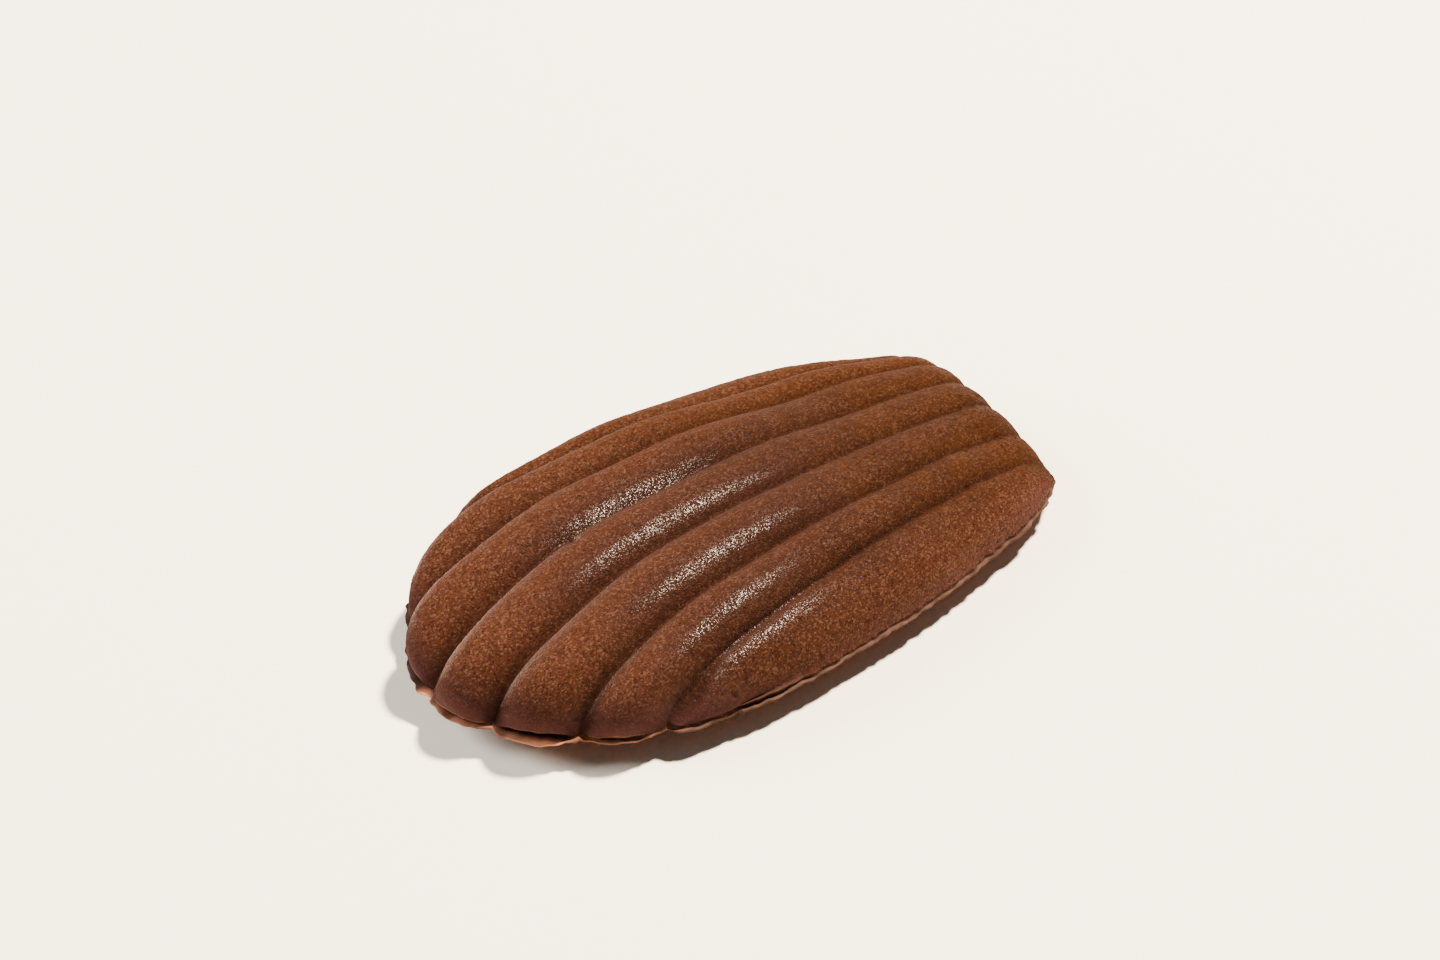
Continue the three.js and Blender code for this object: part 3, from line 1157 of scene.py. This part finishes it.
@dataclass
class MadeleineCake:
    """The whole cake as one closed mesh, which stands for its solid."""

    shell: RibbedShell = field(default_factory=RibbedShell)
    surface: BakedSurface = field(default_factory=BakedSurface)
    lip: FlashLip = field(default_factory=FlashLip)
    crown: LowCrown = field(default_factory=LowCrown)
    finish: ChocolateCrumb = field(default_factory=ChocolateCrumb)
    band_height: float = 1.4
    wide_band_height: float = 3.4
    side_band: float = 0.3
    band_fade: Fade = Fade(0.25, 0.2)
    edge_height: float = 2.4
    edge_near_side: Fade = Fade(2.6, 0.4)
    edge_along: Fade = Fade(0.3, 0.4)
    streaks: tuple[PolishedStreak, ...] = (
        PolishedStreak(0.58, 0.2, 0.56, 0.8),
        PolishedStreak(-0.26, 0.18, 0.6, 0.7),
        PolishedStreak(-1.2, 0.22, 0.58, 0.75),
        PolishedStreak(-2.06, 0.22, 0.52, 0.9),
        PolishedStreak(-2.61, 0.22, 0.54, 1.0, 0.3),
    )
    pits: tuple[Pit, ...] = (
        Pit(0.4, 0.27, 0.12, 0.01, 0.6),
        Pit(-0.9, 0.13, 0.07, 0.006, 0.2),
        Pit(1.7, 0.5, 0.07, 0.006, 0.2),
        Pit(-2.2, 0.72, 0.07, 0.006, 0.2),
    )
    pit_shade: float = 0.7
    crest_polish: float = 0.04
    crest_from_wide_end: Fade = Fade(0.0, 0.3)
    crest_from_narrow_end: Fade = Fade(0.0, 0.5)
    # Painted shade in the groove floors: its least share, and how it grows down the wide end.
    groove_shade: float = 0.35
    groove_narrowness: float = 1.6
    groove_fade: Fade = Fade(0.0, 0.45)
    # Painted light: paler on the wide end, near side and far ribs, warmer on the lit far ribs; a warmer
    # bake at the narrow end.
    pale_fade: Fade = Fade(0.1, 0.7)
    near_side_painted_light: Fade = Fade(2.4, 0.8)
    far_side_painted_light: Fade = Fade(1.0, 2.0)
    far_paleness: float = 0.6
    far_side_lit_warmth: Fade = Fade(0.3, 2.0)
    warm_narrow_end: Fade = Fade(0.35, 0.5)
    narrow_warmth: float = 0.4

    def middle_of_outline(self) -> np.ndarray:
        """Finds the middle of the plain cake's outline box, on which the solid is centred.

        Returns:
            The middle in x and y, in the form's own millimetres, with 0 as its z.
        """
        inset = self.shell.rim_inset
        shell = replace(self.shell, far_inset=inset, narrow_inset=inset)
        rim = self.rim_of(shell.smooth_grid(), plain=True)
        outer = rim.edge + rim.outward * inset
        middle = (outer.min(0) + outer.max(0)) / 2
        middle[2] = 0
        return middle

    def rim_of(self, grid: ShellGrid, plain: bool = False) -> Rim:
        """Works out the crust's lower edge, which the ribs make lobed.

        Args:
            grid: The smooth shell.
            plain: Whether to leave out what the gaps and the fraying do to it.

        Returns:
            The rim.
        """
        smooth_edge = loop_of(grid.places)
        lift = loop_of(self.shell.rib_lift(grid) + self.surface.waves(grid.places))
        edge = smooth_edge + outward_of(smooth_edge) * lift[:, None]

        columns, rows = grid.shares.shape
        counts = (rows - 1, columns - 1, rows - 1, columns - 1)
        sides = np.repeat([side.value for side in Side], counts)
        on_end = (sides == Side.WIDE_END.value) | (sides == Side.NARROW_END.value)
        marks = np.where(on_end, loop_of(np.array(grid.ribs)), loop_of(grid.shares))
        rim = Rim(edge, outward_of(edge), sides, marks)
        if not plain:
            self.lip.fray_crust(rim)
        return rim

    def crust(self, grid: ShellGrid, rim: Rim) -> np.ndarray:
        """Lifts the smooth shell by its ribs and its baked surface.

        Args:
            grid: The smooth shell.
            rim: The crust's lower edge.

        Returns:
            The crust's points, in the grid's order.
        """
        along = np.gradient(grid.places, axis=1)
        across = np.gradient(grid.places, axis=0)
        normals = unit(np.cross(along, across))
        lift = self.shell.rib_lift(grid) + self.surface.waves(grid.places)
        fine = smooth(grid.heights / self.surface.full_at_height)
        lift += self.surface.fine_lift(grid.places) * fine
        for pit in self.pits:
            lift -= pit.cover(grid) * pit.depth
        crust = grid.places + normals * lift[..., None]
        numbers = loop_of(np.arange(grid.shares.size).reshape(grid.shares.shape))
        flat = crust.reshape(-1, 3)
        flat[numbers] = rim.edge
        return flat.reshape(crust.shape)

    def polish(self, grid: ShellGrid) -> np.ndarray:
        """Gives how smooth the mould left the crust: most on streaks along the crests.

        Args:
            grid: The smooth shell.

        Returns:
            The polish of each point, from 0 to 1.
        """
        crests = np.where(np.abs(grid.ribs) > self.shell.outer_rib, 0, self.shell.relief(grid.ribs))
        middle = self.crest_from_wide_end.at(grid.shares) * self.crest_from_narrow_end.at(1 - grid.shares)
        streaks = [streak.cover(grid) for streak in self.streaks]
        return np.max([*streaks, self.crest_polish * crests * middle], axis=0)

    def halo(self, grid: ShellGrid) -> np.ndarray:
        """Gives how much darker the crust beside the streaks is, from 0 to 1."""
        inner = [streak for streak in self.streaks if abs(streak.rib) < self.shell.outer_rib - 0.5]
        return np.max([streak.halo(grid) for streak in inner], axis=0)

    def band(self, grid: ShellGrid) -> np.ndarray:
        """Gives how much of the darker, smoother band over the rim the crust has: most at the wide end.

        Args:
            grid: The smooth shell.

        Returns:
            The band's cover of each point, from 0 to 1.
        """
        wide_end = 1 - self.band_fade.at(grid.shares)
        top = self.band_height + (self.wide_band_height - self.band_height) * wide_end
        return (1 - smooth(grid.heights / top)) * (self.side_band + (1 - self.side_band) * wide_end)

    def groove(self, grid: ShellGrid) -> np.ndarray:
        """Gives the painted shade in the grooves: most where they run down the wide end.

        Args:
            grid: The smooth shell.

        Returns:
            The darkness of each point, from 0 to 1.
        """
        floors = np.clip(1 - self.shell.relief(grid.ribs) * self.groove_narrowness, 0, 1)
        wide_end = 1 - self.groove_fade.at(grid.shares)
        low = 1 - smooth(grid.heights / self.shell.height)
        return floors * (self.groove_shade + (1 - self.groove_shade) * wide_end * low)

    def paleness(self, grid: ShellGrid) -> np.ndarray:
        """Gives how pale the crust is painted: painted light at the wide end, down the near side and on
        the far ribs, which the lamps leave darker; at the thick wide end partly a paler bake.

        Args:
            grid: The smooth shell.

        Returns:
            The paleness of each point, from 0 to 1.
        """
        wide_end = 1 - self.pale_fade.at(grid.shares)
        near_side = self.near_side_painted_light.at(-grid.ribs)
        far_side = self.far_side_painted_light.at(grid.ribs) * self.far_paleness
        return np.max([wide_end, near_side, far_side], axis=0)

    def warmth(self, grid: ShellGrid) -> np.ndarray:
        """Gives how warm the brown is: painted light on the lit far ribs, and a warmer bake at the thin
        narrow end.
        """
        narrow_end = self.warm_narrow_end.at(grid.shares) * self.narrow_warmth
        return np.maximum(self.far_side_lit_warmth.at(grid.ribs), narrow_end)

    def pale_edge(self, grid: ShellGrid) -> np.ndarray:
        """Gives how pale and dry the crust's lower edge is: most along the thin part of the near side."""
        low = 1 - smooth(grid.heights / self.edge_height)
        return low * self.edge_near_side.at(-grid.ribs) * self.edge_along.at(grid.shares)

    def point_values(self, grid: ShellGrid, rim: Rim) -> dict[str, np.ndarray]:
        """Works out what the crust's points keep for the finish.

        Args:
            grid: The smooth shell.
            rim: The crust's lower edge.

        Returns:
            A value from 0 to 1 for each point, by name.
        """
        grids = {
            "band": self.band(grid),
            "groove": self.groove(grid),
            "pale": self.paleness(grid),
            "warm": self.warmth(grid),
            "edge": self.pale_edge(grid),
            "polish": self.polish(grid),
            "halo": self.halo(grid),
            # Painted shade in the pits, kept with the gaps' painted shade.
            "gap": np.max([pit.cover(grid) for pit in self.pits], axis=0) * self.pit_shade,
        }
        nothing = np.zeros(grid.shares.shape)
        values = {name: grids.get(name, nothing).flatten() for name in POINT_VALUES}
        numbers = loop_of(np.arange(grid.shares.size).reshape(grid.shares.shape))
        values["lip"][numbers] = self.lip.fold_paleness * self.lip.fold(rim)
        return values

    def build(self) -> bpy.types.Object:
        """Builds the cake's mesh with its point values.

        Returns:
            The cake.
        """
        grid = self.shell.smooth_grid()
        rim = self.rim_of(grid)
        skin = ClosedSkin(self.crust(grid, rim), self.point_values(grid, rim))
        tan = self.lip.tan(rim)
        for ring, lip, gap in self.lip.rings(rim):
            skin.add_ring(ring, {"lip": lip, "gap": gap, "tan": tan})
        for ring in self.crown.rings(loop_of(grid.places)):
            skin.add_ring(ring, {"under": 1.0, "tan": tan})
        moved_by = np.array([0, 0, self.crown.depth]) - self.middle_of_outline()
        cake = bpy.data.objects.new("madeleine", skin.close("madeleine", {"under": 1.0}, moved_by))
        bpy.context.scene.collection.objects.link(cake)
        return cake

    def dress(self, cake: bpy.types.Object) -> None:
        """Gives the cake its finish and its place in the frame.

        Args:
            cake: The cake.
        """
        cake.data.materials.append(self.finish.material())
        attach(cake, "root")
        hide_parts(CAKE_NODE)


@dataclass(frozen=True)
class SoftLight:
    """A soft lamp that shines on the middle of the cake from a heading and an elevation."""

    name: str
    heading: float
    elevation: float
    distance: float
    width: float
    power: float
    tint: tuple[float, float, float] = (1.0, 1.0, 1.0)

    def hang(self) -> None:
        """Puts the lamp in the scene."""
        lamp = bpy.data.lights.new(self.name, "AREA")
        lamp.shape = "DISK"
        lamp.size = self.width
        lamp.energy = self.power
        lamp.color = self.tint
        lamp_object = bpy.data.objects.new(self.name, lamp)
        heading, elevation = math.radians(self.heading), math.radians(self.elevation)
        away = Vector(
            (
                math.cos(heading) * math.cos(elevation),
                math.sin(heading) * math.cos(elevation),
                math.sin(elevation),
            )
        )
        lamp_object.location = away * self.distance
        lamp_object.rotation_euler = away.to_track_quat("Z", "Y").to_euler()
        bpy.context.scene.collection.objects.link(lamp_object)


@dataclass
class Studio:
    """The pale floor, the soft lamps and the portrait camera."""

    floor_width: float = 6.0
    floor_colour: Colour = field(default_factory=lambda: paint(240, 238, 226))
    floor_grain: float = 0.6
    floor_relief: float = 0.00001
    floor_relief_share: float = 0.3
    floor_roughness: float = 0.7
    floor_specular: float = 0.2
    sky_colour: Colour = (0.95, 0.97, 1.0, 1.0)
    sky_strength: float = 0.11
    lamps: tuple[SoftLight, ...] = (
        SoftLight("key_lamp", 4.0, 60.0, 1.6, 0.2, 185.0, (1.0, 0.83, 0.64)),
        SoftLight("fill_lamp", 132.0, 31.0, 2.2, 1.2, 105.0, (1.0, 0.92, 0.87)),
    )
    camera_heading: float = 51.62
    camera_elevation: float = 38.974
    camera_distance: float = 434.381
    aside: float = -30.986
    above: float = -23.774
    focal_share: float = 4032.069 / 1440
    sensor: float = 36.0

    def lay_floor(self) -> None:
        """Lays the floor under the cake."""
        half = self.floor_width / 2
        mesh = bpy.data.meshes.new("floor")
        corners = [(-half, -half, 0), (half, -half, 0), (half, half, 0), (-half, half, 0)]
        mesh.from_pydata(corners, [], [(0, 1, 2, 3)])
        floor = bpy.data.objects.new("floor", mesh)
        bpy.context.scene.collection.objects.link(floor)
        sketch = ShaderSketch("pale_floor")
        place = sketch.object_millimetres()
        sketch.surface.inputs["Base Color"].default_value = self.floor_colour
        sketch.surface.inputs["Roughness"].default_value = self.floor_roughness
        sketch.surface.inputs["Specular IOR Level"].default_value = self.floor_specular
        sketch.bump(sketch.noise(place, self.floor_grain, 2.0), self.floor_relief, self.floor_relief_share)
        mesh.materials.append(sketch.material)

    def light(self) -> None:
        """Hangs the lamps and sets the pale sky."""
        for lamp in self.lamps:
            lamp.hang()
        world = bpy.data.worlds.new("studio")
        world.use_nodes = True
        sky = world.node_tree.nodes["Background"]
        sky.inputs["Color"].default_value = self.sky_colour
        sky.inputs["Strength"].default_value = self.sky_strength
        bpy.context.scene.world = world

    def place_camera(self, middle: np.ndarray, rest_height: float) -> None:
        """Puts the camera where the portrait was taken from.

        Args:
            middle: What the cake's form was moved by to centre it, in millimetres.
            rest_height: How far the rim stands over the floor, in millimetres.
        """
        heading, elevation = math.radians(self.camera_heading), math.radians(self.camera_elevation)
        right = np.array([math.sin(heading), -math.cos(heading), 0])
        level = np.array([math.cos(heading), math.sin(heading), 0])
        up = level * math.sin(elevation) + [0, 0, math.cos(elevation)]
        forward = level * math.cos(elevation) - [0, 0, math.sin(elevation)]
        place = -(self.aside * right + self.above * up + self.camera_distance * forward)
        place = place - middle + [0, 0, rest_height]
        data = bpy.data.cameras.new("portrait")
        data.sensor_width = self.sensor
        data.lens = self.focal_share * self.sensor
        data.clip_start = 0.01
        camera = bpy.data.objects.new("portrait", data)
        camera.location = Vector(place / METRE)
        camera.rotation_euler = (math.pi / 2 - elevation, 0, heading - math.pi / 2)
        bpy.context.scene.collection.objects.link(camera)
        bpy.context.scene.camera = camera


def main() -> None:
    """Builds the cake and its studio, and reports each piece."""
    logging.basicConfig(level=logging.INFO, format="%(message)s")
    madeleine = MadeleineCake()
    cake = madeleine.build()
    madeleine.dress(cake)
    log.info("cake: %d points, %d faces", len(cake.data.vertices), len(cake.data.polygons))
    studio = Studio()
    studio.lay_floor()
    studio.light()
    studio.place_camera(madeleine.middle_of_outline(), madeleine.crown.depth)
    log.info("studio: %d lamps and a camera", len(studio.lamps))


if __name__ == "__main__":
    main()
